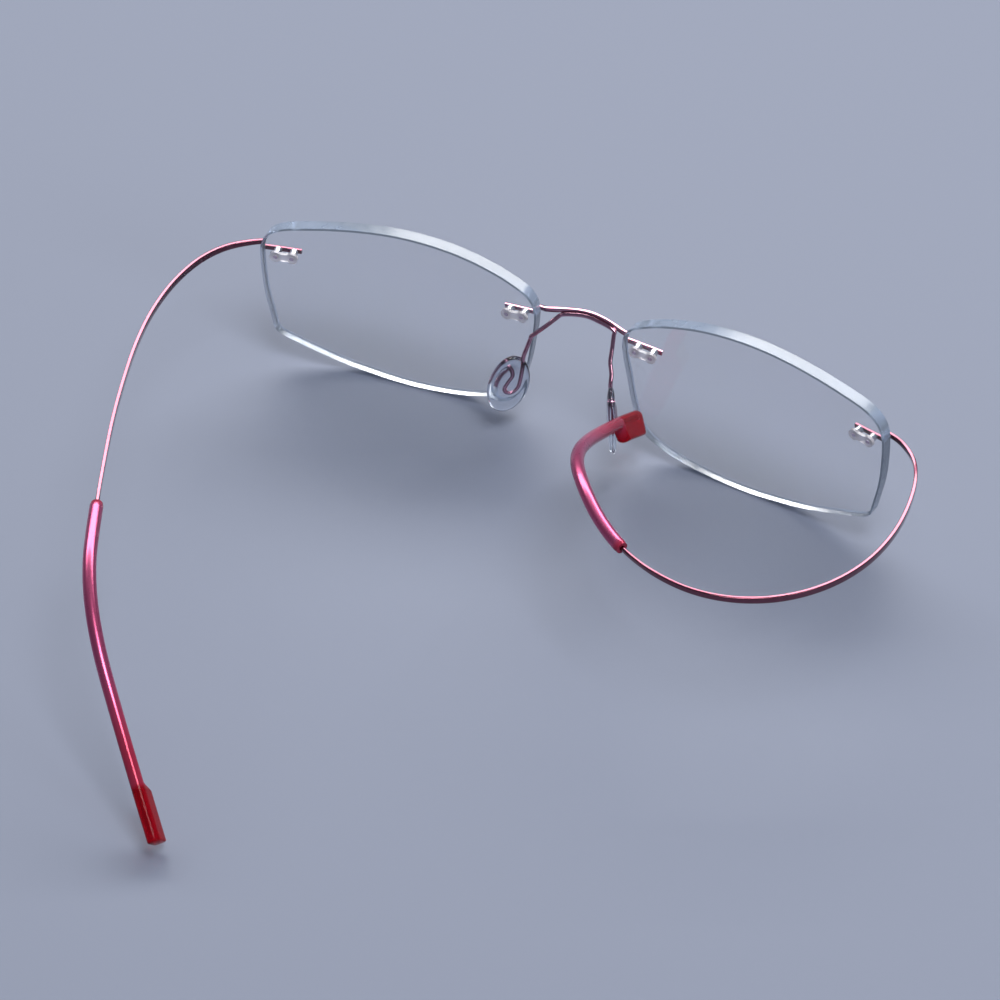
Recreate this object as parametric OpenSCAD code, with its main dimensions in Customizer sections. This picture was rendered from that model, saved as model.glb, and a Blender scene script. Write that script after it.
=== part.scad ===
// Rimless eyeglasses with screwless spring-wire temples.
// +X is the wearer's left, +Y runs back along the temples, +Z is up.
// The origin is the saddle of the bridge: mid-way between the lenses, at their boxed mid height.

/* [Lenses] */
// Sideways distance from the bridge centre to each lens centre
lens_offset = 34.6; // [34:0.1:36]
// Distance of each lens centre behind the bridge saddle
lens_set_back = 3; // [2.5:0.1:3.5]
// Height of each lens centre above the origin
lens_height_pos = 0.2; // [0:0.1:1]
// Thickness of the lens
lens_t = 2.8; // [2:0.1:3]
// Radius of the lens's back surface
lens_r = 175; // [140:5:260]
// Face-form (wrap) angle of each lens
wrap = 5.35; // [4:0.05:7]
// Pantoscopic tilt
tilt = 3.6; // [2:0.1:6]
// Turn of the left lens's outline about its own centre, nasal side up
left_roll = 0.8; // [0:0.1:1.5]

/* [Lens clips] */
// Distance from the lens centre to the middle of the temple clip
clip_out = 22; // [21:0.5:22.5]
// Height of the temple clip above the lens centre
clip_out_h = 7.4; // [6:0.1:8]
// Distance from the lens centre to the middle of the bridge clip
clip_in = 22.1; // [21.5:0.1:22.5]
// Height of the bridge clip above the lens centre
clip_in_h = 6.6; // [6:0.1:8]
// Distance between the two pegs of a clip
peg_gap = 3; // [2.5:0.1:3.5]
// Radius of a peg
peg_r = 0.4; // [0.3:0.05:0.5]
// Outer radius of a bushing tube
bush_r = 0.75; // [0.7:0.05:0.9]
// Radius of each round end of a bushing's flange
flange_r = 1.1; // [1:0.1:1.4]
// Thickness of a bushing's flange
flange_t = 0.6; // [0.4:0.1:0.8]

/* [Frame wire] */
// Thickness of the flat titanium wire
wire_t = 0.65; // [0.5:0.05:0.8]
// Height of the bridge wire
bridge_h = 0.9; // [0.8:0.1:1.2]
// Air between a lens's front surface and the wire on it
wire_gap = 0.15; // [0.1:0.05:0.3]
// Diameter of the nose pad wire
pad_wire_d = 0.8; // [0.7:0.05:0.9]

/* [Nose pads] */
// Length of a nose pad
pad_l = 13.7; // [12:0.1:15]
// Width of a nose pad
pad_w = 8; // [7:0.1:9]
// Thickness of a nose pad
pad_t = 2.6; // [2.5:0.1:3]

/* [Temples] */
// Length of the left temple along the wire
left_len = 153; // [150:0.5:153]
// Length of the right temple along the wire
right_len = 154.5; // [150:0.5:154.5]
// Where the left temple's sleeve starts, along the wire
left_sleeve_at = 87; // [84:0.5:92]
// Where the right temple's sleeve starts, along the wire
right_sleeve_at = 92; // [84:0.5:92]
// Diameter of the sleeve
sleeve_d = 2.4; // [2.2:0.1:2.6]
// Length of the flat pad at the end of the sleeve
paddle_l = 10.5; // [9:0.5:13]
// How far the end pad reaches below the sleeve
paddle_drop = 2.3; // [1.5:0.1:2.6]
// Roll of the end pad towards the head
paddle_roll = 26; // [15:1:30]

/* [Hidden] */
$fn = 48;

wire_rgb = [0.80, 0.36, 0.50];
silver_rgb = [0.78, 0.76, 0.78];
lens_rgb = [0.78, 0.86, 0.92, 0.45];
clear_rgb = [0.88, 0.93, 0.95, 0.6];
sleeve_rgb = [0.80, 0.12, 0.32, 0.9];

// Closed outline of the left lens about its boxed centre: x towards the temple, y up
outline = [[26.2, 1], [26.4, 6], [26.2, 9.5], [24.8, 12.2], [22, 13.8], [18, 14.7], [12, 15.8],
    [6, 16.6], [0, 17], [-6, 16.8], [-12, 16], [-18, 14.4], [-22, 12.8], [-25, 10.9], [-26.2, 8],
    [-26, 4], [-25.3, 0], [-24.5, -4.5], [-23.2, -9], [-21.3, -11.9], [-18, -13.9], [-13, -15.5],
    [-7, -16.4], [-1, -16.6], [5, -16], [11, -14.9], [16, -13.4], [20.5, -11.7], [23.2, -10.5],
    [24.3, -9.4], [24.8, -7.5], [25.2, -5.5], [25.8, -2.5]];

// Compass heading of each temple wire in degrees at stations along it in mm (0 is straight back,
// 90 is outwards), and its climb. The left one lies as it springs open, the right one is wound in.
left_turn = [[9, 52], [12, 48], [16, 30], [22, 12], [30, 0], [40, -10], [50, -16], [60, -18],
    [70, -21], [88, -23], [98, -24], [106, -30], [114, -37], [124, -44], [154, -46]];
left_climb = [[6.5, 0], [9, 2], [40, 1], [70, 1], [88, 4], [98, 0], [106, -13], [114, -23],
    [124, -30], [154, -33]];
right_turn = [[9, 61], [12, 46], [16, 28], [22, 15], [30, 6], [40, -8], [50, -26], [60, -46],
    [70, -69], [80, -96], [94, -123], [104, -135], [112, -145], [118, -158], [124, -168],
    [132, -175], [156, -178]];
right_climb = [[6.5, 0], [9, -5], [12, 3], [16, 6], [22, 5], [30, 4], [70, 5], [80, 3], [94, 2],
    [104, 5], [112, -11], [118, -22], [124, -29], [132, -31], [142, -32], [156, -35]];
// Half height of the flat wire along a temple
half_h = [[0, 0.43], [7, 0.47], [14, 0.6], [20, 0.66], [62, 0.66], [84, 0.52], [87, 0.45]];
// Stations where the wire flexes, and where the sleeve flexes
flex = [44, 61, 78];
sleeve_flex = [101, 118];

function unit(v) = v / norm(v);
// Catmull-Rom curve through points, n steps a span
function cr(a, b, c, d, t) = 0.5 * (2 * b + (c - a) * t + (2 * a - 5 * b + 4 * c - d) * t * t
    + (3 * b - a - 3 * c + d) * t * t * t);
function closed_curve(p, n) = [for (i = [0:len(p) - 1], k = [0:n - 1])
    cr(p[(i + len(p) - 1) % len(p)], p[i], p[(i + 1) % len(p)], p[(i + 2) % len(p)], k / n)];
function open_curve(p, n) = concat([for (i = [0:len(p) - 2], k = [0:n - 1])
    cr(p[max(i - 1, 0)], p[i], p[i + 1], p[min(i + 2, len(p) - 1)], k / n)], [p[len(p) - 1]]);
function mir(p) = [-p.x, p.y, p.z];
function backwards(p) = [for (i = [len(p) - 1:-1:0]) p[i]];

// ---- lens placement -------------------------------------------------------------------------
lens_c = [lens_offset, lens_set_back, lens_height_pos];
ball_z = 0.4 - lens_r;
function turn_z(v, a) = [v.x * cos(a) - v.y * sin(a), v.x * sin(a) + v.y * cos(a), v.z];
function turn_x(v, a) = [v.x, v.y * cos(a) - v.z * sin(a), v.y * sin(a) + v.z * cos(a)];
function turn_y(v, a) = [v.x * cos(a) + v.z * sin(a), v.y, -v.x * sin(a) + v.z * cos(a)];
// A direction given in the lens's own axes (x outwards, y up, z to the front)
function lens_dir(v) = turn_z(turn_x([v.x, -v.z, v.y], tilt), wrap);
function clip_dir(s, t, roll, v) = lens_dir(turn_y(turn_x(turn_z(v, roll), -asin(t / lens_r)),
    atan2(s, sqrt(lens_r * lens_r - s * s - t * t))));
function clip_pt(s, t, roll, v) = lens_c + lens_dir([0, 0, ball_z])
    + clip_dir(s, t, roll, [v.x, v.y, v.z + lens_r]);

module in_lens() translate(lens_c) rotate([0, 0, wrap]) rotate([tilt, 0, 0]) rotate([90, 0, 0]) children();
// Children stand on the lens's back surface at s, t, with z towards the front
module in_clip(s, t, roll) in_lens() translate([0, 0, ball_z])
    rotate([-asin(t / lens_r), atan2(s, sqrt(lens_r * lens_r - s * s - t * t)), 0])
    rotate([0, 0, roll]) translate([0, 0, lens_r]) children();
module at_temple_clip() in_clip(clip_out, clip_out_h, 0) children();
bridge_roll = -6.6;
module at_bridge_clip() in_clip(-clip_in, clip_in_h, bridge_roll) children();
module two_pegs() for (k = [-0.5, 0.5]) translate([k * peg_gap, 0, 0]) children();

module lens(roll) difference() {
    in_lens() intersection() {
        translate([0, 0, -6]) linear_extrude(12) rotate(roll) polygon(closed_curve(outline, 4));
        translate([0, 0, ball_z]) difference() {
            sphere(lens_r + lens_t, $fn = 96);
            sphere(lens_r, $fn = 96);
        }
    }
    at_temple_clip() two_pegs() translate([0, 0, -2]) cylinder(h = 7, r = bush_r + 0.02);
    at_bridge_clip() two_pegs() translate([0, 0, -2]) cylinder(h = 7, r = bush_r + 0.02);
}

// Double bushing: two tubes through the lens on a flange behind it
module bushing() difference() {
    union() {
        translate([0, 0, -flange_t - 0.05]) {
            two_pegs() cylinder(h = flange_t, r = flange_r);
            translate([-peg_gap / 2, -0.8, 0]) cube([peg_gap, 1.6, flange_t]);
            two_pegs() cylinder(h = flange_t + 0.05 + lens_t, r = bush_r);
        }
    }
    two_pegs() translate([0, 0, -2]) cylinder(h = 6, r = peg_r + 0.02);
}
module pegs() two_pegs() translate([0, 0, -flange_t - 0.05])
    cylinder(h = flange_t + 0.05 + lens_t + wire_gap + 0.3, r = peg_r);

// ---- swept wires ----------------------------------------------------------------------------
// A solid through rings of points, each ring with the same count, in order along the wire
module skin(rings) {
    n = len(rings[0]);
    m = len(rings);
    polyhedron(points = [for (r = rings, p = r) p], faces = concat(
        [[for (j = [0:n - 1]) j]],
        [for (i = [0:m - 2], j = [0:n - 1]) each let (a = i * n + j, b = i * n + (j + 1) % n)
            [[a, a + n, b + n], [a, b + n, b]]],
        [[for (j = [n - 1:-1:0]) (m - 1) * n + j]]), convexity = 6);
}
// A tube with outer and inner rings; the bore is blind at the far end when it has fewer rings
module tube(outer, inner) {
    n = len(outer[0]);
    m = len(outer);
    q = len(inner);
    o = m * n;
    blind = q < m;
    polyhedron(points = [for (r = concat(outer, inner), p = r) p], faces = concat(
        [for (j = [0:n - 1]) each let (k = (j + 1) % n) [[j, k, o + k], [j, o + k, o + j]]],
        [for (i = [0:m - 2], j = [0:n - 1]) each let (a = i * n + j, b = i * n + (j + 1) % n)
            [[a, a + n, b + n], [a, b + n, b]]],
        [for (i = [0:q - 2], j = [0:n - 1]) each let (a = o + i * n + j, b = o + i * n + (j + 1) % n)
            [[a, b + n, a + n], [a, b, b + n]]],
        blind ? [[for (j = [n - 1:-1:0]) (m - 1) * n + j], [for (j = [0:n - 1]) o + (q - 1) * n + j]]
            : [for (j = [0:n - 1]) each let (k = (j + 1) % n, e = (m - 1) * n, f = o + (q - 1) * n)
                [[e + j, f + k, e + k], [e + j, f + j, f + k]]]), convexity = 8);
}
// Ring shapes in a wire's cross-section: x sideways, y up. All have the same point count.
function flat_ring(a, b) = [[a, -0.6 * b], [a, 0.6 * b], [0.6 * a, b], [-0.6 * a, b],
    [-a, 0.6 * b], [-a, -0.6 * b], [-0.6 * a, -b], [0.6 * a, -b]];
function round_ring(r, n) = [for (j = [0:n - 1]) r * [cos((j + 0.5) * 360 / n - 90), sin((j + 0.5) * 360 / n - 90)]];

// ---- bridge and nose pad wire ---------------------------------------------------------------
wire_mid = lens_t + wire_gap + wire_t / 2;
bridge_half = [clip_pt(-clip_in, clip_in_h, bridge_roll, [2.9, 0, wire_mid]),
    clip_pt(-clip_in, clip_in_h, bridge_roll, [0, 0, wire_mid]),
    clip_pt(-clip_in, clip_in_h, bridge_roll, [-3.2, 0, wire_mid]),
    [7.6, -1.35, 7.4], [5, -2.1, 7.6], [2.4, -2.55, 7.95], [0, -2.7, 8.1]];
bridge_path = open_curve(concat(bridge_half, backwards([for (i = [0:len(bridge_half) - 2]) mir(bridge_half[i])])), 4);
function tangent(p, i) = unit(p[min(i + 1, len(p) - 1)] - p[max(i - 1, 0)]);
function placed(p, t, ring) = let (side = unit(cross(t, [0, 0, 1])), up = cross(side, t))
    [for (q = ring) p + q.x * side + q.y * up];
// Frames for a wire that loops: the first side vector is carried along without twist
function carry(p, i, v) = let (t = tangent(p, i), w = v - (v * t) * t) unit(w);
function carried(p, v) = [for (i = 0, w = carry(p, 0, v); i < len(p); i = i + 1, w = i < len(p) ? carry(p, i, w) : w) w];
module round_wire(p, r, n, v) {
    c = carried(p, v);
    skin([for (i = [0:len(p) - 1]) let (t = tangent(p, i), w = c[i], u = cross(t, w))
        [for (q = round_ring(r, n)) p[i] + q.x * w + q.y * u]]);
}

// Each nose pad: centre, unit normal towards the nose, direction of its long axis
left_pad_c = [11.9, 6.4, -5.7];
left_pad_n = [-0.69, 0.72, -0.06];
left_pad_up = unit([-0.14, -0.05, 1]);
right_pad_c = [-8.5, 6.6, -6.5];
right_pad_n = [0.88, 0.47, 0];
right_pad_up = unit([0.06, -0.11, 1]);
function pad_n(n, up) = unit(n - (n * up) * up);
left_n = pad_n(left_pad_n, left_pad_up);
right_n = pad_n(right_pad_n, right_pad_up);
left_w = cross(left_pad_up, left_n);
right_w = cross(right_n, right_pad_up);
function in_left(v) = left_pad_c + v.x * left_w + v.y * left_pad_up + v.z * left_n;
function in_right(v) = right_pad_c + v.x * right_w + v.y * right_pad_up + v.z * right_n;
// The hook of the wire inside a pad: across, along, through
hook = [[2, 3.4, 0], [1.9, 0.6, 0], [1.6, -1, 0], [0.7, -1.9, 0], [-0.3, -1.7, 0], [-0.8, -0.7, 0], [-0.3, 0.8, 0],
    [0.3, 2.1, 0], [0.1, 3.4, 0], [-0.6, 4.6, 0]];
left_arm = concat([for (h = backwards(hook)) in_left(h)], [in_left([2, 6.2, 0]), [9.2, 3.9, 2.1], [8.9, 3.2, 3.5],
    [8.8, 3, 4], [8.4, 2.5, 4.3], [7, 0.75, 5.3], [5.7, -0.95, 6.3], [5.2, -1.5, 6.7]]);
right_arm = concat([[-5.4, -1.5, 6.85], [-5.5, -1, 6.3], [-5.85, 0.4, 4.7], [-6.1, 1.7, 3.1], [-6.2, 2, 2.7], [-6.3, 2.2, 2.35],
    [-6.9, 3.1, 0.9]], [in_right([2, 6.2, 0])], [for (h = hook) in_right(h)]);
pad_wire_path = open_curve(concat(left_arm, [[4.2, -1.7, 7.15], [2, -2, 7.6], [0, -2.15, 7.75], [-2, -2, 7.6], [-4.2, -1.75, 7.3]], right_arm), 3);

module pad_blank() {
    // rounded oval, thicker along its middle
    skin([for (i = [0:16]) let (a = -90 + i * 180 / 16, z = pad_t / 2 * sign(sin(a)) * pow(abs(sin(a)), 1),
            k = max(pow(cos(a) > 0 ? cos(a) : 0, 0.55), 0.02))
        [for (j = [0:27]) let (b = j * 360 / 28) [pad_w / 2 * k * cos(b), pad_l / 2 * k * sin(b) , z]]]);
}
// Slot that lets the pad rock a little on the hook
module pad_slot() {
    translate([-1.5, -2.6, -0.68]) cube([4.25, 7.9, 1.36]);
    translate([1.3, 5, -0.68]) cube([1.5, 4, 1.36]);
}
module oriented(c, x, y, z) multmatrix([[x.x, y.x, z.x, c.x], [x.y, y.y, z.y, c.y], [x.z, y.z, z.z, c.z], [0, 0, 0, 1]]) children();

// ---- temples --------------------------------------------------------------------------------
temple_start = clip_pt(clip_out, clip_out_h, 0, [-2.8, 0, wire_mid]);
start_dir = clip_dir(clip_out, clip_out_h, 0, [1, 0, 0]);
start_turn = atan2(start_dir.x, start_dir.y);
step = 0.5;
function heading(s, turn) = lookup(s, concat([[0, start_turn], [6.5, start_turn]], turn));
function along(s, turn, climb) = let (h = heading(s, turn), c = lookup(s, climb))
    [sin(h) * cos(c), cos(h) * cos(c), sin(c)];
function walk(turn, climb) = [for (i = 0, p = temple_start; i <= 320;
    p = p + step * along((i + 0.5) * step, turn, climb), i = i + 1) p];
left_walk = walk(left_turn, left_climb);
right_walk = walk(right_turn, right_climb);
// Point and ring at station s; each ring stands square to the wire
function at(w, s) = let (i = floor(s / step), f = s / step - i) w[i] * (1 - f) + w[i + 1] * f;
function ring_at(w, turn, climb, s, ring) = let (h = heading(s, turn), c = lookup(s, climb),
        side = [cos(h), -sin(h), 0], up = [-sin(h) * sin(c), -cos(h) * sin(c), cos(c)], p = at(w, s))
    [for (q = ring) p + q.x * side + q.y * up];
function wire_ring(s, sleeve_at) = let (k = max(0, min(1, (sleeve_at - s) / 3)))
    flat_ring(0.42 * (1 - k) + wire_t / 2 * k, lookup(s, half_h));
function stations(a, b, d) = let (n = ceil((b - a) / d)) [for (i = [0:n]) a + (b - a) * i / n];
module wire_part(w, turn, climb, a, b, sleeve_at, d = 2)
    skin([for (s = stations(a, b, d)) ring_at(w, turn, climb, s, wire_ring(s, sleeve_at))]);

// Sleeve section: round, with the end pad's lower half drawn down and rolled towards the head
function sleeve_ring(s, end) = let (k = max(0, min(1, (s - (end - paddle_l)) / 1.5)), d = paddle_drop * k * k * (3 - 2 * k))
    [for (q = round_ring(sleeve_d / 2, 16)) let (x = q.x, y = q.y < 0 ? q.y - d : q.y)
        [x * cos(paddle_roll) + y * sin(paddle_roll), -x * sin(paddle_roll) + y * cos(paddle_roll)]];
module sleeve_part(w, turn, climb, a, b, end) {
    closed = b >= end;
    ss = closed ? concat(stations(a, end - paddle_l, 2), [for (k = [0.25, 0.5, 0.75, 1]) end - paddle_l + 1.5 * k],
        [for (k = [1:4]) end - paddle_l + 1.5 + (paddle_l - 1.5) * k / 4]) : stations(a, b, 2);
    si = closed ? stations(a, end - 1.6, 2) : ss;
    tube([for (s = ss) ring_at(w, turn, climb, s, sleeve_ring(s, end))],
        [for (s = si) ring_at(w, turn, climb, s, round_ring(0.54, 16))]);
}
module left_wire(a, b) color(wire_rgb) wire_part(left_walk, left_turn, left_climb, a, b, left_sleeve_at);
module right_wire(a, b) color(wire_rgb) mirror([1, 0, 0]) wire_part(right_walk, right_turn, right_climb, a, b, right_sleeve_at);
module left_sleeve(a, b) color(sleeve_rgb) sleeve_part(left_walk, left_turn, left_climb, a, b, left_len);
module right_sleeve(a, b) color(sleeve_rgb) mirror([1, 0, 0]) sleeve_part(right_walk, right_turn, right_climb, a, b, right_len);

// ---- sub-parts ------------------------------------------------------------------------------
module left_lens() color(lens_rgb) lens(-left_roll);
module right_lens() color(lens_rgb) mirror([1, 0, 0]) lens(0);
module left_temple_bushing() color(clear_rgb) at_temple_clip() bushing();
module right_temple_bushing() color(clear_rgb) mirror([1, 0, 0]) at_temple_clip() bushing();
module left_bridge_bushing() color(clear_rgb) at_bridge_clip() bushing();
module right_bridge_bushing() color(clear_rgb) mirror([1, 0, 0]) at_bridge_clip() bushing();
module left_temple_pegs() color(silver_rgb) at_temple_clip() pegs();
module right_temple_pegs() color(silver_rgb) mirror([1, 0, 0]) at_temple_clip() pegs();
module left_bridge_pegs() color(silver_rgb) at_bridge_clip() pegs();
module right_bridge_pegs() color(silver_rgb) mirror([1, 0, 0]) at_bridge_clip() pegs();
module bridge() color(wire_rgb) skin([for (i = [0:len(bridge_path) - 1])
    placed(bridge_path[i], tangent(bridge_path, i), flat_ring(wire_t / 2, bridge_h / 2))]);
module nose_pad_wire() color(wire_rgb) round_wire(pad_wire_path, pad_wire_d / 2, 8, [0, 1, 0]);
module left_nose_pad() color(clear_rgb) oriented(left_pad_c, left_w, left_pad_up, left_n)
    difference() { pad_blank(); pad_slot(); }
module right_nose_pad() color(clear_rgb) oriented(right_pad_c, right_w, right_pad_up, right_n)
    difference() { pad_blank(); pad_slot(); }

module left_temple_root() left_wire(0, flex[0]);
module left_temple_wire_1() left_wire(flex[0], flex[1]);
module left_temple_wire_2() left_wire(flex[1], flex[2]);
module left_temple_wire_3() left_wire(flex[2], sleeve_flex[0]);
module left_core_middle() left_wire(sleeve_flex[0], sleeve_flex[1]);
module left_core_end() left_wire(sleeve_flex[1], left_len - 2);
module left_sleeve_front() left_sleeve(left_sleeve_at, sleeve_flex[0]);
module left_sleeve_middle() left_sleeve(sleeve_flex[0], sleeve_flex[1]);
module left_sleeve_end() left_sleeve(sleeve_flex[1], left_len);
module right_temple_root() right_wire(0, flex[0]);
module right_temple_wire_1() right_wire(flex[0], flex[1]);
module right_temple_wire_2() right_wire(flex[1], flex[2]);
module right_temple_wire_3() right_wire(flex[2], sleeve_flex[0]);
module right_core_middle() right_wire(sleeve_flex[0], sleeve_flex[1]);
module right_core_end() right_wire(sleeve_flex[1], right_len - 2);
module right_sleeve_front() right_sleeve(right_sleeve_at, sleeve_flex[0]);
module right_sleeve_middle() right_sleeve(sleeve_flex[0], sleeve_flex[1]);
module right_sleeve_end() right_sleeve(sleeve_flex[1], right_len);

left_lens();
right_lens();
left_temple_bushing();
right_temple_bushing();
left_bridge_bushing();
right_bridge_bushing();
left_temple_pegs();
right_temple_pegs();
left_bridge_pegs();
right_bridge_pegs();
bridge();
nose_pad_wire();
left_nose_pad();
right_nose_pad();
left_temple_root();
left_temple_wire_1();
left_temple_wire_2();
left_temple_wire_3();
left_core_middle();
left_core_end();
left_sleeve_front();
left_sleeve_middle();
left_sleeve_end();
right_temple_root();
right_temple_wire_1();
right_temple_wire_2();
right_temple_wire_3();
right_core_middle();
right_core_end();
right_sleeve_front();
right_sleeve_middle();
right_sleeve_end();
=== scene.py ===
import math

import bmesh
import bpy
import numpy as np
from mathutils import Matrix, Vector


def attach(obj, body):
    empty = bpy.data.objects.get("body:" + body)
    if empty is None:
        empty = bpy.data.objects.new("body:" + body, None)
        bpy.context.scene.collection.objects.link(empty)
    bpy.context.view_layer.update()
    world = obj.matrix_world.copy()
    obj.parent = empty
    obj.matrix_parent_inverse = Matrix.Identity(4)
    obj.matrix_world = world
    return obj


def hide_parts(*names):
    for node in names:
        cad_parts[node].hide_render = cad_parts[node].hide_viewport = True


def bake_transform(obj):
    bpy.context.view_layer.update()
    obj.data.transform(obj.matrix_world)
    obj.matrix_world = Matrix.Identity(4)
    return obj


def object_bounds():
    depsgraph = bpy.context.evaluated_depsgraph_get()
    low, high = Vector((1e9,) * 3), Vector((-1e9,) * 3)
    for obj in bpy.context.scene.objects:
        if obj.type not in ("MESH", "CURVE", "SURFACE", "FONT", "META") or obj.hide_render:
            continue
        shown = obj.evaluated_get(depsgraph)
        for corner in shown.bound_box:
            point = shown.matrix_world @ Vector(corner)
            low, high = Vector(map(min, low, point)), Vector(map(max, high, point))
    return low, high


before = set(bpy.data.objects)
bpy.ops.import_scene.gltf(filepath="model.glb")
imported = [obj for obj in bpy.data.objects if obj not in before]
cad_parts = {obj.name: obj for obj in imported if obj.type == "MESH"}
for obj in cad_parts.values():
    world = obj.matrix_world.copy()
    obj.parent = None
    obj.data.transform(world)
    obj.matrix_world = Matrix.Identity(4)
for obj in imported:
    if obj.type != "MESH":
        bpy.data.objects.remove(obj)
cad_lo, cad_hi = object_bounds()
MM = 0.001

# ---------------------------------------------------------------------------------------------
# Design numbers, the same as the CAD model's, in mm
# ---------------------------------------------------------------------------------------------
LENS_C = np.array([34.6, 3.0, 0.2])
LENS_T, LENS_R, LEFT_ROLL = 2.8, 175.0, math.radians(0.8)
WRAP, TILT = math.radians(5.35), math.radians(3.6)
CLIP_OUT, CLIP_OUT_H, CLIP_IN, CLIP_IN_H, BRIDGE_ROLL = 22.0, 7.4, 22.1, 6.6, math.radians(-6.6)
PEG_GAP, BUSH_R = 3.0, 0.75
WIRE_T, BRIDGE_H, WIRE_GAP = 0.65, 0.9, 0.15
WIRE_MID = LENS_T + WIRE_GAP + WIRE_T / 2
PAD_L, PAD_W, PAD_T = 13.7, 8.0, 2.6
LEFT_LEN, RIGHT_LEN, LEFT_AT, RIGHT_AT = 153.0, 154.5, 87.0, 92.0
SLEEVE_R, PADDLE_L, PADDLE_DROP, PADDLE_ROLL = 1.2, 10.5, 2.3, math.radians(26)
BALL_Z = 0.4 - LENS_R

OUTLINE = [[26.2, 1], [26.4, 6], [26.2, 9.5], [24.8, 12.2], [22, 13.8], [18, 14.7], [12, 15.8],
    [6, 16.6], [0, 17], [-6, 16.8], [-12, 16], [-18, 14.4], [-22, 12.8], [-25, 10.9], [-26.2, 8],
    [-26, 4], [-25.3, 0], [-24.5, -4.5], [-23.2, -9], [-21.3, -11.9], [-18, -13.9], [-13, -15.5],
    [-7, -16.4], [-1, -16.6], [5, -16], [11, -14.9], [16, -13.4], [20.5, -11.7], [23.2, -10.5],
    [24.3, -9.4], [24.8, -7.5], [25.2, -5.5], [25.8, -2.5]]
LEFT_TURN = [[9, 52], [12, 48], [16, 30], [22, 12], [30, 0], [40, -10], [50, -16], [60, -18],
    [70, -21], [88, -23], [98, -24], [106, -30], [114, -37], [124, -44], [154, -46]]
LEFT_CLIMB = [[6.5, 0], [9, 2], [40, 1], [70, 1], [88, 4], [98, 0], [106, -13], [114, -23],
    [124, -30], [154, -33]]
RIGHT_TURN = [[9, 61], [12, 46], [16, 28], [22, 15], [30, 6], [40, -8], [50, -26], [60, -46],
    [70, -69], [80, -96], [94, -123], [104, -135], [112, -145], [118, -158], [124, -168],
    [132, -175], [156, -178]]
RIGHT_CLIMB = [[6.5, 0], [9, -5], [12, 3], [16, 6], [22, 5], [30, 4], [70, 5], [80, 3], [94, 2],
    [104, 5], [112, -11], [118, -22], [124, -29], [132, -31], [142, -32], [156, -35]]
HALF_H = [[0, 0.43], [7, 0.47], [14, 0.6], [20, 0.66], [62, 0.66], [84, 0.52], [87, 0.45]]
HOOK = [[2, 3.4, 0], [1.9, 0.6, 0], [1.6, -1, 0], [0.7, -1.9, 0], [-0.3, -1.7, 0], [-0.8, -0.7, 0],
    [-0.3, 0.8, 0], [0.3, 2.1, 0], [0.1, 3.4, 0], [-0.6, 4.6, 0]]


def unit(v):
    v = np.asarray(v, float)
    return v / np.linalg.norm(v)


def rot(axis, a):
    return np.array(Matrix.Rotation(a, 3, axis))


R_LENS = rot("Z", WRAP) @ rot("X", TILT) @ rot("X", math.pi / 2)


def clip_rot(s, t, roll):
    return rot("Y", math.atan2(s, math.sqrt(LENS_R ** 2 - s * s - t * t))) @ rot("X", -math.asin(t / LENS_R)) @ rot("Z", roll)


def clip_pt(s, t, roll, v):
    v = np.array([v[0], v[1], v[2] + LENS_R])
    return LENS_C + R_LENS @ (np.array([0, 0, BALL_Z]) + clip_rot(s, t, roll) @ v)


def mir(p):
    return np.asarray(p, float) * np.array([-1.0, 1.0, 1.0])


def catmull(p, n, closed=False):
    p = np.asarray(p, float)
    m = len(p)
    out = []
    for i in range(m if closed else m - 1):
        if closed:
            a, b, c, d = p[i - 1], p[i], p[(i + 1) % m], p[(i + 2) % m]
        else:
            a, b, c, d = p[max(i - 1, 0)], p[i], p[i + 1], p[min(i + 2, m - 1)]
        for k in range(n):
            t = k / n
            out.append(0.5 * (2 * b + (c - a) * t + (2 * a - 5 * b + 4 * c - d) * t * t + (3 * b - a - 3 * c + d) * t ** 3))
    if not closed:
        out.append(p[-1])
    return np.array(out)


# ---------------------------------------------------------------------------------------------
# Mesh helpers
# ---------------------------------------------------------------------------------------------
def make(name, verts, faces, mats, index=None, sharp=40.0, attribute=None):
    """A mesh object from points in mm, smooth shaded, with edges sharper than sharp degrees kept crisp."""
    me = bpy.data.meshes.new(name)
    me.from_pydata([tuple(float(x) * MM for x in v) for v in verts], [], [tuple(f) for f in faces])
    me.validate()
    for m in mats:
        me.materials.append(m)
    if index is not None:
        me.polygons.foreach_set("material_index", index)
    if attribute is not None:
        a = me.attributes.new("clear", "FLOAT", "POINT")
        a.data.foreach_set("value", [float(x) for x in attribute])
    ob = bpy.data.objects.new(name, me)
    bpy.context.scene.collection.objects.link(ob)
    crisp(ob, sharp)
    return ob


def crisp(ob, sharp):
    bm = bmesh.new()
    bm.from_mesh(ob.data)
    bmesh.ops.recalc_face_normals(bm, faces=bm.faces)
    for f in bm.faces:
        f.smooth = True
    limit = math.radians(sharp)
    for e in bm.edges:
        e.smooth = len(e.link_faces) == 2 and e.calc_face_angle(0.0) < limit
    bm.to_mesh(ob.data)
    bm.free()
    ob.data.update()


def skin_faces(n, m, offset=0, flip=False):
    out = []
    for i in range(m - 1):
        for j in range(n):
            a, b = offset + i * n + j, offset + i * n + (j + 1) % n
            q = (a, b, b + n, a + n)
            out.append(q[::-1] if flip else q)
    return out


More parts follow.
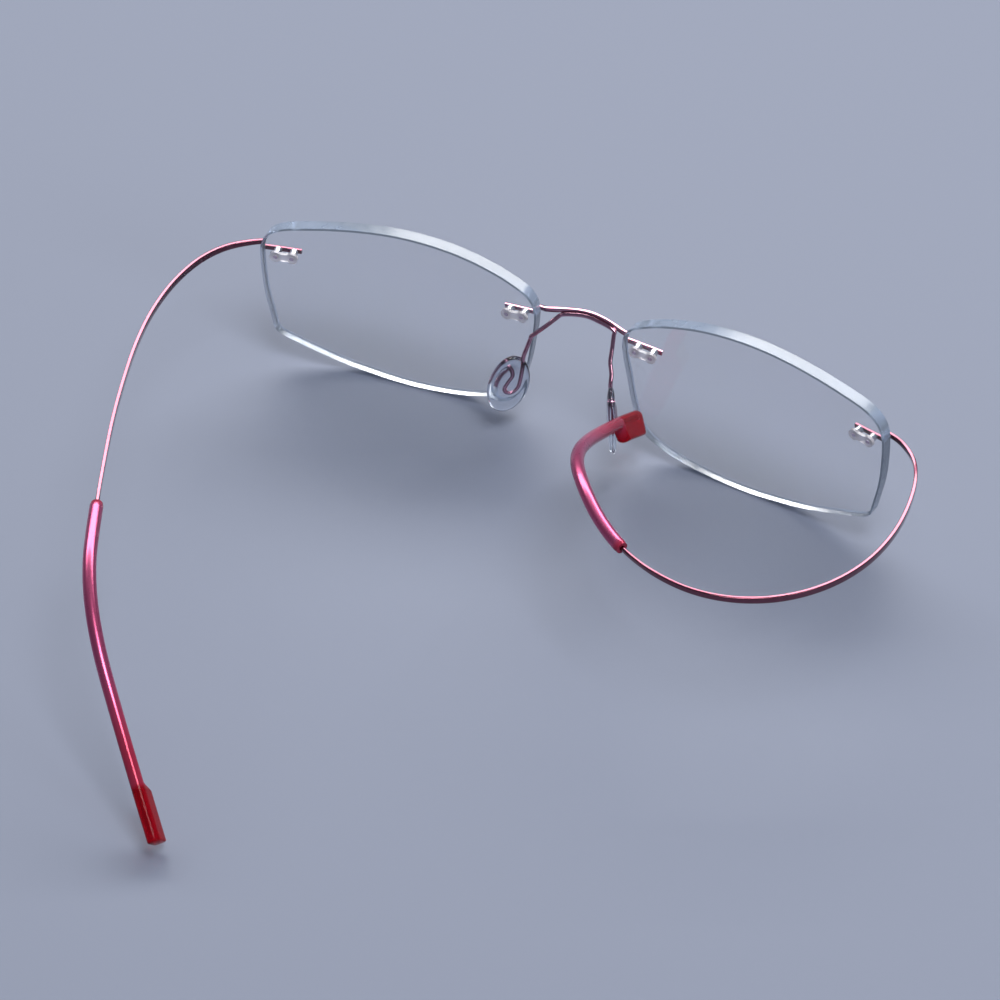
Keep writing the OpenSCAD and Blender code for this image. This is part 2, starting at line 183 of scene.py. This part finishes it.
def solid_sweep(name, rings, mats, sharp=50.0, round_ends=(0.0, 0.0)):
    """A closed solid through rings. round_ends shrinks a rounded nose on either end, in mm."""
    rings = [np.asarray(r, float) for r in rings]
    for end, rr in zip((0, -1), round_ends):
        if rr <= 0:
            continue
        ring = rings[end]
        c = ring.mean(0)
        out = unit(c - rings[1 if end == 0 else -2].mean(0))
        extra = []
        for a in (30, 55, 75):
            k = math.radians(a)
            extra.append(c - out * 0 + (ring - c) * (1 - (1 - math.cos(k)) * 0.55) + out * rr * math.sin(k))
        rings = (extra[::-1] + rings) if end == 0 else (rings + extra)
    n, m = len(rings[0]), len(rings)
    faces = skin_faces(n, m)
    faces.append(tuple(range(n))[::-1])
    faces.append(tuple((m - 1) * n + j for j in range(n)))
    return make(name, np.vstack(rings), faces, mats, sharp=sharp)


def round_rect(a, b, r, k=4):
    """Rounded rectangle, half width a and half height b, corner radius r."""
    r = min(r, a * 0.98, b * 0.98)
    out = []
    for cx, cy, s in ((a - r, b - r, 0), (-a + r, b - r, 90), (-a + r, -b + r, 180), (a - r, -b + r, 270)):
        for i in range(k + 1):
            t = math.radians(s + 90 * i / k)
            out.append((cx + r * math.cos(t), cy + r * math.sin(t)))
    return np.array(out)


def circle(r, n):
    return np.array([(r * math.cos(2 * math.pi * j / n), r * math.sin(2 * math.pi * j / n)) for j in range(n)])


# ---------------------------------------------------------------------------------------------
# Materials: all procedural
# ---------------------------------------------------------------------------------------------
def material(name, **values):
    m = bpy.data.materials.new(name)
    m.use_nodes = True
    nt = m.node_tree
    bsdf = nt.nodes["Principled BSDF"]
    for k, v in values.items():
        key = k.replace("_", " ")
        if key in bsdf.inputs:
            bsdf.inputs[key].default_value = v
    return m, nt, bsdf


def node(nt, kind, **props):
    n = nt.nodes.new(kind)
    for k, v in props.items():
        setattr(n, k, v)
    return n


def noise(nt, scale, detail=4.0, rough=0.55, stretch=None):
    tc = node(nt, "ShaderNodeTexCoord")
    n = node(nt, "ShaderNodeTexNoise")
    n.inputs["Scale"].default_value = scale
    n.inputs["Detail"].default_value = detail
    n.inputs["Roughness"].default_value = rough
    if stretch:
        mp = node(nt, "ShaderNodeMapping")
        mp.inputs["Scale"].default_value = stretch
        nt.links.new(tc.outputs["Object"], mp.inputs["Vector"])
        nt.links.new(mp.outputs["Vector"], n.inputs["Vector"])
    else:
        nt.links.new(tc.outputs["Object"], n.inputs["Vector"])
    return n


def ramp(nt, source, lo, hi, c0, c1):
    r = node(nt, "ShaderNodeValToRGB")
    r.color_ramp.elements[0].position, r.color_ramp.elements[1].position = lo, hi
    r.color_ramp.elements[0].color, r.color_ramp.elements[1].color = c0, c1
    nt.links.new(source, r.inputs["Fac"])
    return r


def span(nt, source, a0, a1, b0, b1):
    r = node(nt, "ShaderNodeMapRange")
    r.inputs["From Min"].default_value, r.inputs["From Max"].default_value = a0, a1
    r.inputs["To Min"].default_value, r.inputs["To Max"].default_value = b0, b1
    nt.links.new(source, r.inputs["Value"])
    return r.outputs["Result"]


def bump(nt, bsdf, source, strength, distance):
    b = node(nt, "ShaderNodeBump")
    b.inputs["Strength"].default_value = strength
    b.inputs["Distance"].default_value = distance
    nt.links.new(source, b.inputs["Height"])
    nt.links.new(b.outputs["Normal"], bsdf.inputs["Normal"])


def rose_metal(name, lo, hi):
    m, nt, bsdf = material(name, Metallic=1.0, Roughness=0.16)
    n = noise(nt, 900, 5)
    r = ramp(nt, n.outputs["Fac"], 0.3, 0.75, lo, hi)
    nt.links.new(r.outputs["Color"], bsdf.inputs["Base Color"])
    fine = noise(nt, 5200, 3)
    nt.links.new(span(nt, fine.outputs["Fac"], 0.25, 0.75, 0.10, 0.20), bsdf.inputs["Roughness"])
    bsdf.inputs["Coat Weight"].default_value = 1.0
    bsdf.inputs["Coat Roughness"].default_value = 0.05
    bump(nt, bsdf, fine.outputs["Fac"], 0.10, 0.00002)
    return m


def peg_metal():
    m, nt, bsdf = material("peg_titanium", Metallic=1.0, Roughness=0.14)
    n = noise(nt, 2400, 4)
    r = ramp(nt, n.outputs["Fac"], 0.3, 0.7, (0.84, 0.62, 0.69, 1), (0.95, 0.82, 0.86, 1))
    nt.links.new(r.outputs["Color"], bsdf.inputs["Base Color"])
    nt.links.new(span(nt, n.outputs["Fac"], 0.2, 0.8, 0.10, 0.20), bsdf.inputs["Roughness"])
    return m


def lens_face():
    m, nt, bsdf = material("lens_face", Roughness=0.0, IOR=1.56)
    bsdf.inputs["Transmission Weight"].default_value = 1.0
    n = noise(nt, 60, 3)
    r = ramp(nt, n.outputs["Fac"], 0.3, 0.7, (0.955, 0.962, 0.955, 1), (0.97, 0.968, 0.975, 1))
    nt.links.new(r.outputs["Color"], bsdf.inputs["Base Color"])
    if "Thin Film Thickness" in bsdf.inputs:
        nt.links.new(span(nt, n.outputs["Fac"], 0.2, 0.8, 255.0, 275.0), bsdf.inputs["Thin Film Thickness"])
        bsdf.inputs["Thin Film IOR"].default_value = 1.38
    return m


def lens_edge():
    m, nt, bsdf = material("lens_edge", Roughness=0.15, IOR=1.56)
    bsdf.inputs["Transmission Weight"].default_value = 0.68
    n = noise(nt, 500, 5)
    r = ramp(nt, n.outputs["Fac"], 0.25, 0.75, (0.54, 0.64, 0.80, 1), (0.62, 0.72, 0.88, 1))
    nt.links.new(r.outputs["Color"], bsdf.inputs["Base Color"])
    nt.links.new(span(nt, n.outputs["Fac"], 0.25, 0.75, 0.10, 0.20), bsdf.inputs["Roughness"])
    return m


def clear_plastic(name, tint0, tint1, ior, rough, trans=1.0):
    m, nt, bsdf = material(name, IOR=ior, Roughness=rough)
    bsdf.inputs["Transmission Weight"].default_value = trans
    n = noise(nt, 700, 4)
    r = ramp(nt, n.outputs["Fac"], 0.3, 0.7, tint0, tint1)
    nt.links.new(r.outputs["Color"], bsdf.inputs["Base Color"])
    nt.links.new(span(nt, n.outputs["Fac"], 0.2, 0.8, rough * 0.6, rough * 1.5), bsdf.inputs["Roughness"])
    return m


def sleeve_material():
    """Pearl crimson silicone; the attribute clear turns it into clear red at the mouth and the end pad."""
    m, nt, bsdf = material("sleeve_silicone", IOR=1.41)
    at = node(nt, "ShaderNodeAttribute", attribute_name="clear")
    n = noise(nt, 140, 2)
    a = ramp(nt, n.outputs["Fac"], 0.3, 0.72, (0.50, 0.085, 0.19, 1), (0.56, 0.105, 0.22, 1))
    mix = node(nt, "ShaderNodeMix", data_type="RGBA")
    nt.links.new(at.outputs["Fac"], mix.inputs["Factor"])
    nt.links.new(a.outputs["Color"], mix.inputs["A"])
    mix.inputs["B"].default_value = (0.46, 0.004, 0.014, 1)
    nt.links.new(mix.outputs["Result"], bsdf.inputs["Base Color"])
    nt.links.new(span(nt, at.outputs["Fac"], 0, 1, 0.0, 0.66), bsdf.inputs["Transmission Weight"])
    nt.links.new(span(nt, at.outputs["Fac"], 0, 0.8, 0.85, 0.0), bsdf.inputs["Metallic"])
    fine = noise(nt, 1800, 3)
    satin = span(nt, fine.outputs["Fac"], 0.25, 0.75, 0.27, 0.29)
    gloss = span(nt, at.outputs["Fac"], 0, 1, 1.0, 0.2)
    mul = node(nt, "ShaderNodeMath", operation="MULTIPLY")
    nt.links.new(satin, mul.inputs[0])
    nt.links.new(gloss, mul.inputs[1])
    nt.links.new(mul.outputs["Value"], bsdf.inputs["Roughness"])
    nt.links.new(span(nt, at.outputs["Fac"], 0, 1, 0.15, 0.0), bsdf.inputs["Coat Weight"])
    nt.links.new(span(nt, at.outputs["Fac"], 0, 1, 0.5, 0.0), bsdf.inputs["Specular IOR Level"])
    nt.links.new(span(nt, at.outputs["Fac"], 0, 1, 1.41, 1.2), bsdf.inputs["IOR"])
    bsdf.inputs["Coat Roughness"].default_value = 0.06
    return m


def floor_material():
    m, nt, bsdf = material("studio_floor", Roughness=0.55)
    n = noise(nt, 3, 2)
    r = ramp(nt, n.outputs["Fac"], 0.3, 0.7, (0.165, 0.187, 0.252, 1), (0.170, 0.192, 0.258, 1))
    nt.links.new(r.outputs["Color"], bsdf.inputs["Base Color"])
    return m


# One rose plating in two copies. The temple copy has a darker base colour that paints shade on the wire's sides and
# underside. The bridge and nose pad wire copy has a lighter base colour that paints a brighter lit look.
MAT_WIRE_PAINTED_SHADE = rose_metal("rose_plating_temple_painted_shade", (0.15, 0.025, 0.05, 1), (0.20, 0.04, 0.075, 1))
MAT_BRIDGE_PAINTED_LIGHT = rose_metal("rose_plating_bridge_painted_light", (0.50, 0.22, 0.30, 1), (0.60, 0.30, 0.38, 1))
MAT_PEG = peg_metal()
MAT_LENS = lens_face()
MAT_EDGE = lens_edge()
MAT_BUSH = clear_plastic("clear_bushing", (0.98, 0.93, 0.96, 1), (1.0, 0.98, 1.0, 1), 1.49, 0.10, 0.62)
MAT_PAD = clear_plastic("clear_silicone", (0.76, 0.83, 0.94, 1), (0.88, 0.92, 0.98, 1), 1.45, 0.03, 1.0)
MAT_SLEEVE = sleeve_material()


# ---------------------------------------------------------------------------------------------
# Lenses
# ---------------------------------------------------------------------------------------------
def build_lens(name, mirrored):
    full = catmull(OUTLINE, 8, closed=True)
    if not mirrored:
        ca, sa = math.cos(-LEFT_ROLL), math.sin(-LEFT_ROLL)
        full = np.stack([full[:, 0] * ca - full[:, 1] * sa, full[:, 0] * sa + full[:, 1] * ca], -1)
    d = np.roll(full, -1, 0) - np.roll(full, 1, 0)
    nrm = np.stack([d[:, 1], -d[:, 0]], -1)
    nrm /= np.linalg.norm(nrm, axis=1)[:, None]
    if (nrm * full).sum() < 0:
        nrm = -nrm
    inset = full - nrm * 0.28
    n = len(full)

    def zf(p):
        return BALL_Z + np.sqrt((LENS_R + LENS_T) ** 2 - (p ** 2).sum(1))

    def zb(p):
        return BALL_Z + np.sqrt(LENS_R ** 2 - (p ** 2).sum(1))

    levels = [k / 12 for k in range(1, 13)]
    verts = [np.array([[0, 0, BALL_Z + LENS_R + LENS_T]])]
    for f in levels:
        p = inset * f
        verts.append(np.column_stack([p, zf(p)]))
    verts.append(np.column_stack([full, zf(full) - 0.26]))
    verts.append(np.column_stack([full, zb(full) + 0.26]))
    for f in levels[::-1]:
        p = inset * f
        verts.append(np.column_stack([p, zb(p)]))
    verts.append(np.array([[0, 0, BALL_Z + LENS_R]]))
    V = np.vstack(verts)
    rings = 2 * len(levels) + 2
    faces, idx = [], []
    for j in range(n):
        faces.append((0, 1 + j, 1 + (j + 1) % n))
        idx.append(0)
    for i in range(rings - 1):
        edge = len(levels) - 1 <= i <= len(levels) + 1
        for j in range(n):
            a, b = 1 + i * n + j, 1 + i * n + (j + 1) % n
            faces.append((a, a + n, b + n, b))
            idx.append(1 if edge else 0)
    last = len(V) - 1
    o = 1 + (rings - 1) * n
    for j in range(n):
        faces.append((last, o + (j + 1) % n, o + j))
        idx.append(0)
    P = (R_LENS @ V.T).T + LENS_C
    if mirrored:
        P = mir(P)
    ob = make(name, P, faces, [MAT_LENS, MAT_EDGE], idx, sharp=25)
    # holes for the bushings
    cutters = []
    for s, t, roll in ((CLIP_OUT, CLIP_OUT_H, 0.0), (-CLIP_IN, CLIP_IN_H, BRIDGE_ROLL)):
        for k in (-0.5, 0.5):
            rings_c = []
            for z in (-2.0, 5.0):
                ring = np.array([clip_pt(s, t, roll, [k * PEG_GAP + q[0], q[1], z]) for q in circle(BUSH_R + 0.02, 32)])
                rings_c.append(mir(ring) if mirrored else ring)
            cut = make("cut", np.vstack(rings_c), skin_faces(32, 2) + [tuple(range(32))[::-1], tuple(32 + j for j in range(32))], [MAT_EDGE])
            cutters.append(cut)
    for cut in cutters:
        md = ob.modifiers.new("hole", "BOOLEAN")
        md.operation = "DIFFERENCE"
        md.solver = "EXACT"
        md.material_mode = "TRANSFER"
        md.object = cut
    dg = bpy.context.evaluated_depsgraph_get()
    me = bpy.data.meshes.new_from_object(ob.evaluated_get(dg))
    ob.modifiers.clear()
    ob.data = me
    for cut in cutters:
        bpy.data.objects.remove(cut)
    crisp(ob, 25)
    body = "right_lens" if mirrored else "left_lens"
    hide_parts(body)
    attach(ob, "front")
    return ob


build_lens("lens_left", False)
build_lens("lens_right", True)


# ---------------------------------------------------------------------------------------------
# Bridge and nose pad wire
# ---------------------------------------------------------------------------------------------
def tangents(p):
    t = np.gradient(p, axis=0)
    return t / np.linalg.norm(t, axis=1)[:, None]


half = [clip_pt(-CLIP_IN, CLIP_IN_H, BRIDGE_ROLL, [2.9, 0, WIRE_MID]),
    clip_pt(-CLIP_IN, CLIP_IN_H, BRIDGE_ROLL, [0, 0, WIRE_MID]),
    clip_pt(-CLIP_IN, CLIP_IN_H, BRIDGE_ROLL, [-3.2, 0, WIRE_MID]),
    np.array([7.6, -1.35, 7.4]), np.array([5, -2.1, 7.6]), np.array([2.4, -2.55, 7.95]), np.array([0, -2.7, 8.1])]
path = catmull(half + [mir(p) for p in half[:-1]][::-1], 14)
tan = tangents(path)
rings = []
for p, t in zip(path, tan):
    side = unit(np.cross(t, [0, 0, 1]))
    up = np.cross(side, t)
    rings.append([p + q[0] * side + q[1] * up for q in round_rect(WIRE_T / 2, BRIDGE_H / 2, 0.13)])
ob = solid_sweep("bridge_wire", rings, [MAT_BRIDGE_PAINTED_LIGHT])
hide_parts("bridge"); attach(ob, "front")

PADS = {}
for side_name, c, n0, u0 in (("left", [11.9, 6.4, -5.7], [-0.69, 0.72, -0.06], [-0.14, -0.05, 1]),
        ("right", [-8.5, 6.6, -6.5], [0.88, 0.47, 0], [0.06, -0.11, 1])):
    u = unit(u0)
    n = np.array(n0, float)
    n = unit(n - (n @ u) * u)
    w = np.cross(u, n) if side_name == "left" else np.cross(n, u)
    PADS[side_name] = (np.array(c, float), w, u, n)


def in_pad(side_name, v):
    c, w, u, n = PADS[side_name]
    return c + v[0] * w + v[1] * u + v[2] * n


left_arm = [in_pad("left", h) for h in HOOK[::-1]] + [in_pad("left", [2, 6.2, 0])] + [np.array(p, float) for p in
    ([9.2, 3.9, 2.1], [8.9, 3.2, 3.5], [8.8, 3, 4], [8.4, 2.5, 4.3], [7, 0.75, 5.3], [5.7, -0.95, 6.3], [5.2, -1.5, 6.7])]
right_arm = [np.array(p, float) for p in ([-5.4, -1.5, 6.85], [-5.5, -1, 6.3], [-5.85, 0.4, 4.7], [-6.1, 1.7, 3.1],
    [-6.2, 2, 2.7], [-6.3, 2.2, 2.35], [-6.9, 3.1, 0.9])] + [in_pad("right", [2, 6.2, 0])] + [in_pad("right", h) for h in HOOK]
mid = [np.array(p, float) for p in ([4.2, -1.7, 7.15], [2, -2, 7.6], [0, -2.15, 7.75], [-2, -2, 7.6], [-4.2, -1.75, 7.3])]
path = catmull(left_arm + mid + right_arm, 10)
tan = tangents(path)
w = np.array([0.0, 1.0, 0.0])
rings = []
for p, t in zip(path, tan):
    w = unit(w - (w @ t) * t)
    u = np.cross(t, w)
    rings.append([p + q[0] * w + q[1] * u for q in circle(0.395, 16)])
ob = solid_sweep("nose_pad_wire_fine", rings, [MAT_BRIDGE_PAINTED_LIGHT], round_ends=(0.2, 0.2))
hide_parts("nose_pad_wire"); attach(ob, "front")


def build_pad(side_name):
    c, w, u, n = PADS[side_name]
    seg = 56
    # profile from the nose side's middle, round the rim, to the back's middle: (share of the oval, height)
    prof = [(0.0, 0.92), (0.2, 0.91), (0.4, 0.87), (0.58, 0.80), (0.74, 0.70), (0.86, 0.58), (0.94, 0.42),
        (0.985, 0.22), (1.0, 0.0), (0.985, -0.24), (0.94, -0.46), (0.88, -0.60), (0.80, -0.64), (0.72, -0.60),
        (0.62, -0.66), (0.5, -0.86), (0.36, -1.0), (0.18, -1.04), (0.0, -1.05)]
    verts, faces = [], []
    for k, (f, z) in enumerate(prof):
        if f == 0:
            verts.append(c + z * n)
            continue
        for j in range(seg):
            a = 2 * math.pi * j / seg
            x, y = math.cos(a), math.sin(a)
            # egg shape, a little narrower at the top
            wx = PAD_W / 2 * 0.985 * (1 - 0.05 * y)
            verts.append(c + (f * wx * x) * w + (f * PAD_L / 2 * 0.99 * y) * u + (z + 0.0) * n)
    m = len(prof) - 2
    faces += [(0, 1 + j, 1 + (j + 1) % seg) for j in range(seg)]
    for i in range(m - 1):
        for j in range(seg):
            a, b = 1 + i * seg + j, 1 + i * seg + (j + 1) % seg
            faces.append((a, a + seg, b + seg, b))
    last = len(verts) - 1
    o = 1 + (m - 1) * seg
    faces += [(last, o + (j + 1) % seg, o + j) for j in range(seg)]
    ob = make(f"nose_pad_{side_name}", verts, faces, [MAT_PAD], sharp=60)
    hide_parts(f"{side_name}_nose_pad"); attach(ob, f"{side_name}_nose_pad")


build_pad("left")
build_pad("right")


# ---------------------------------------------------------------------------------------------
# Temples
# ---------------------------------------------------------------------------------------------
START = clip_pt(CLIP_OUT, CLIP_OUT_H, 0, [-2.8, 0, WIRE_MID])
START_DIR = R_LENS @ clip_rot(CLIP_OUT, CLIP_OUT_H, 0) @ np.array([1.0, 0, 0])
START_TURN = math.degrees(math.atan2(START_DIR[0], START_DIR[1]))
STEP = 0.5


class Walk:
    """The centre line of a temple wire, in mm, as the CAD model walks it."""

    def __init__(self, turn, climb, mirrored):
        t = np.array([[0, START_TURN], [6.5, START_TURN]] + turn, float)
        c = np.array(climb, float)
        fine = np.arange(0, 160.01, 0.125)
        h, k = np.interp(fine, t[:, 0], t[:, 1]), np.interp(fine, c[:, 0], c[:, 1])
        # ease the corners of the bend table over a millimetre or two
        g = np.exp(-0.5 * (np.arange(-16, 17) * 0.125 / 0.8) ** 2)
        g /= g.sum()
        self.s, self.h = fine, np.convolve(np.pad(h, 16, mode="edge"), g, "valid")
        self.c = np.convolve(np.pad(k, 16, mode="edge"), g, "valid")
        hm, cm = np.radians((self.h[1:] + self.h[:-1]) / 2), np.radians((self.c[1:] + self.c[:-1]) / 2)
        d = np.stack([np.sin(hm) * np.cos(cm), np.cos(hm) * np.cos(cm), np.sin(cm)], -1) * 0.125
        self.p = np.vstack([START, START + np.cumsum(d, 0)])
        self.mirrored = mirrored

    def at(self, s):
        p = np.array([np.interp(s, self.s, self.p[:, i]) for i in range(3)])
        return mir(p) if self.mirrored else p

    def ring(self, s, shape):
        h, c = math.radians(np.interp(s, self.s, self.h)), math.radians(np.interp(s, self.s, self.c))
        side = np.array([math.cos(h), -math.sin(h), 0])
        up = np.array([-math.sin(h) * math.sin(c), -math.cos(h) * math.sin(c), math.cos(c)])
        p = np.array([np.interp(s, self.s, self.p[:, i]) for i in range(3)])
        r = np.array([p + q[0] * side + q[1] * up for q in shape])
        return mir(r) if self.mirrored else r


def smooth(k):
    k = min(1.0, max(0.0, k))
    return k * k * (3 - 2 * k)


def wire_shape(s, sleeve_at):
    k = min(1.0, max(0.0, (sleeve_at - s) / 3))
    hh = np.interp(s, [q[0] for q in HALF_H], [q[1] for q in HALF_H])
    return round_rect((0.42 * (1 - k) + WIRE_T / 2 * k) * 0.995, hh * 0.995, 0.13 + 0.25 * (1 - k))


def sleeve_shape(s, end, at):
    n = 40
    k = smooth((s - (end - PADDLE_L)) / 1.6)
    r = SLEEVE_R * 0.995
    r *= 1 - 0.10 * (1 - smooth((s - at) / 0.8))  # softened mouth
    q = circle(r, n)
    # end pad: flat sides and a square lower edge with small radii
    box = round_rect(r, (2 * r + PADDLE_DROP) / 2, 0.45, 9)
    box[:, 1] -= PADDLE_DROP / 2
    if k <= 0:
        out = q
    else:
        # same count and start angle as the circle: match by share of the turn
        a = np.arctan2(box[:, 1] + PADDLE_DROP / 2, box[:, 0])
        a = np.where(a < -1e-6, a + 2 * math.pi, a)
        order = np.argsort(a)
        b = box[order]
        out = []
        for j in range(n):
            c0 = q[j].copy()
            low = c0.copy()
            if c0[1] < 0:
                low[1] -= PADDLE_DROP
                # squarer lower corners
                f = min(1.0, -c0[1] / r * 1.0)
                low[0] = math.copysign(min(r, abs(c0[0]) * (1 + 0.35 * f)), c0[0]) if abs(c0[0]) > 1e-9 else 0.0
            out.append(c0 * (1 - k) + low * k)
        out = np.array(out)
    ca, sa = math.cos(PADDLE_ROLL), math.sin(PADDLE_ROLL)
    return np.stack([out[:, 0] * ca + out[:, 1] * sa, -out[:, 0] * sa + out[:, 1] * ca], -1)


def tube_sweep(name, outer, inner, blind, mats, attribute_outer, attribute_inner):
    n, m, q = len(outer[0]), len(outer), len(inner)
    V = np.vstack([np.vstack(outer), np.vstack(inner)])
    o = m * n
    faces = skin_faces(n, m) + skin_faces(n, q, o, flip=True)
    faces += [(j, o + j, o + (j + 1) % n, (j + 1) % n) for j in range(n)]
    if blind:
        faces.append(tuple((m - 1) * n + j for j in range(n)))
        faces.append(tuple(o + (q - 1) * n + j for j in range(n))[::-1])
    else:
        e, f = (m - 1) * n, o + (q - 1) * n
        faces += [(e + j, e + (j + 1) % n, f + (j + 1) % n, f + j) for j in range(n)]
    att = [a for a in attribute_outer for _ in range(n)] + [a for a in attribute_inner for _ in range(n)]
    return make(name, V, faces, mats, sharp=50, attribute=att)


def stations(a, b, d):
    n = max(1, int(math.ceil((b - a) / d)))
    return [a + (b - a) * i / n for i in range(n + 1)]


def build_temple(side_name, turn, climb, length, sleeve_at):
    w = Walk(turn, climb, side_name == "right")
    cuts = [0, 53, 69, 92, 110, length - 2]
    covers = [(f"{side_name}_temple_root", f"{side_name}_temple_wire_1"), (f"{side_name}_temple_wire_2",),
        (f"{side_name}_temple_wire_3",), (f"{side_name}_core_middle",), (f"{side_name}_core_end",)]
    for k in range(5):
        a, b = cuts[k], cuts[k + 1]
        rings = [w.ring(s, wire_shape(s, sleeve_at)) for s in stations(a, b, 0.75)]
        ob = solid_sweep(f"{side_name}_wire_{k + 1}", rings, [MAT_WIRE_PAINTED_SHADE])
        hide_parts(*covers[k])
        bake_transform(ob)

    def clear_at(s):
        return max(0.6 * (1 - smooth((s - sleeve_at - 0.3) / 1.2)), 0.62 * smooth((s - (length - 34)) / 20.0),
            smooth((s - (length - PADDLE_L - 1.5)) / 3.0))

    for k, (a, b) in enumerate(((sleeve_at, 110), (110, length))):
        last = k == 1
        ss = stations(a, b if not last else length - PADDLE_L, 0.75)
        if k == 0:
            ss = [a, a + 0.12, a + 0.3, a + 0.55] + [s for s in ss if s > a + 0.7]
        if last:
            ss += [length - PADDLE_L + 1.6 * i / 8 for i in range(1, 9)]
            ss += [s for s in stations(length - PADDLE_L + 1.6, length - 0.35, 1.0)[1:]]
            ss += [length - 0.2, length - 0.08, length]
        outer = []
        for s in ss:
            shape = sleeve_shape(s, length, sleeve_at)
            if last and s > length - 0.35:  # small radius on the end face
                f = (s - (length - 0.35)) / 0.35
                c = shape.mean(0)
                inset = 0.30 * (1 - math.sqrt(max(0.0, 1 - f * f)))
                d = shape - c
                shape = c + d * (1 - inset / np.linalg.norm(d, axis=1)[:, None])
            outer.append(w.ring(s, shape))
        si = stations(a, b if not last else length - 1.6, 0.75)
        inner = [w.ring(s, circle(0.53, 40)) for s in si]
        ob = tube_sweep(f"{side_name}_sleeve_{k + 1}", outer, inner, last, [MAT_SLEEVE],
            [clear_at(s) for s in ss], [clear_at(s) for s in si])
        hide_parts(*((f"{side_name}_sleeve_front", f"{side_name}_sleeve_middle") if k == 0 else (f"{side_name}_sleeve_end",)))
        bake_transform(ob)


build_temple("left", LEFT_TURN, LEFT_CLIMB, LEFT_LEN, LEFT_AT)
build_temple("right", RIGHT_TURN, RIGHT_CLIMB, RIGHT_LEN, RIGHT_AT)


# ---------------------------------------------------------------------------------------------
# Bushings and pegs: the CAD solids with their own materials and softened edges
# ---------------------------------------------------------------------------------------------
for name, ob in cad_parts.items():
    if "bushing" in name or "pegs" in name:
        mat = MAT_BUSH if "bushing" in name else MAT_PEG
        ob.data.materials.clear()
        ob.data.materials.append(mat)
        bv = ob.modifiers.new("edge", "BEVEL")
        bv.width = 0.00007
        bv.segments = 2
        bv.limit_method = "ANGLE"
        bv.angle_limit = math.radians(40)

# ---------------------------------------------------------------------------------------------
# Studio: floor, light, camera
# ---------------------------------------------------------------------------------------------
me = bpy.data.meshes.new("floor")
z = cad_lo.z - 0.00002
me.from_pydata([(-4, -4, z), (4, -4, z), (4, 4, z), (-4, 4, z)], [], [(0, 1, 2, 3)])
me.materials.append(floor_material())
floor = bpy.data.objects.new("floor", me)
bpy.context.scene.collection.objects.link(floor)

world = bpy.data.worlds.new("studio")
bpy.context.scene.world = world
world.use_nodes = True
world.node_tree.nodes["Background"].inputs["Color"].default_value = (0.55, 0.64, 0.86, 1)
world.node_tree.nodes["Background"].inputs["Strength"].default_value = 0.22


def area(name, loc, target, size, power, color=(1, 1, 1)):
    l = bpy.data.lights.new(name, "AREA")
    l.shape = "RECTANGLE"
    l.size, l.size_y = size
    l.energy = power
    l.color = color
    o = bpy.data.objects.new(name, l)
    o.location = loc
    o.rotation_mode = "QUATERNION"
    o.rotation_quaternion = (Vector(target) - Vector(loc)).to_track_quat("-Z", "Y")
    bpy.context.scene.collection.objects.link(o)
    return o


mid_pt = (0.0, 0.05, 0.0)
area("top_softbox", (-0.35, 0.25, 1.15), mid_pt, (0.5, 0.5), 10)
area("back_softbox", (0.42, -0.88, 0.88), mid_pt, (2.2, 0.45), 25)
area("side_fill", (-1.0, 0.3, 0.5), mid_pt, (0.3, 0.3), 2, (0.9, 0.95, 1.0))

cam = bpy.data.cameras.new("camera")
cam.sensor_width = 36.0
cam.lens = 243.22
cam.clip_start, cam.clip_end = 0.05, 50
camera = bpy.data.objects.new("camera", cam)
right = Vector((-0.89592586, -0.4431868, -0.03003856))
up = Vector((0.28839675, -0.63177641, 0.71950392))
back = -Vector((0.33785229, -0.63595914, -0.69383845))
m = Matrix((right, up, back)).transposed().to_4x4()
m.translation = Vector((-0.39776, 0.78260, 0.81137))
camera.matrix_world = m
bpy.context.scene.collection.objects.link(camera)
bpy.context.scene.camera = camera

bpy.context.scene.view_settings.view_transform = "Standard"
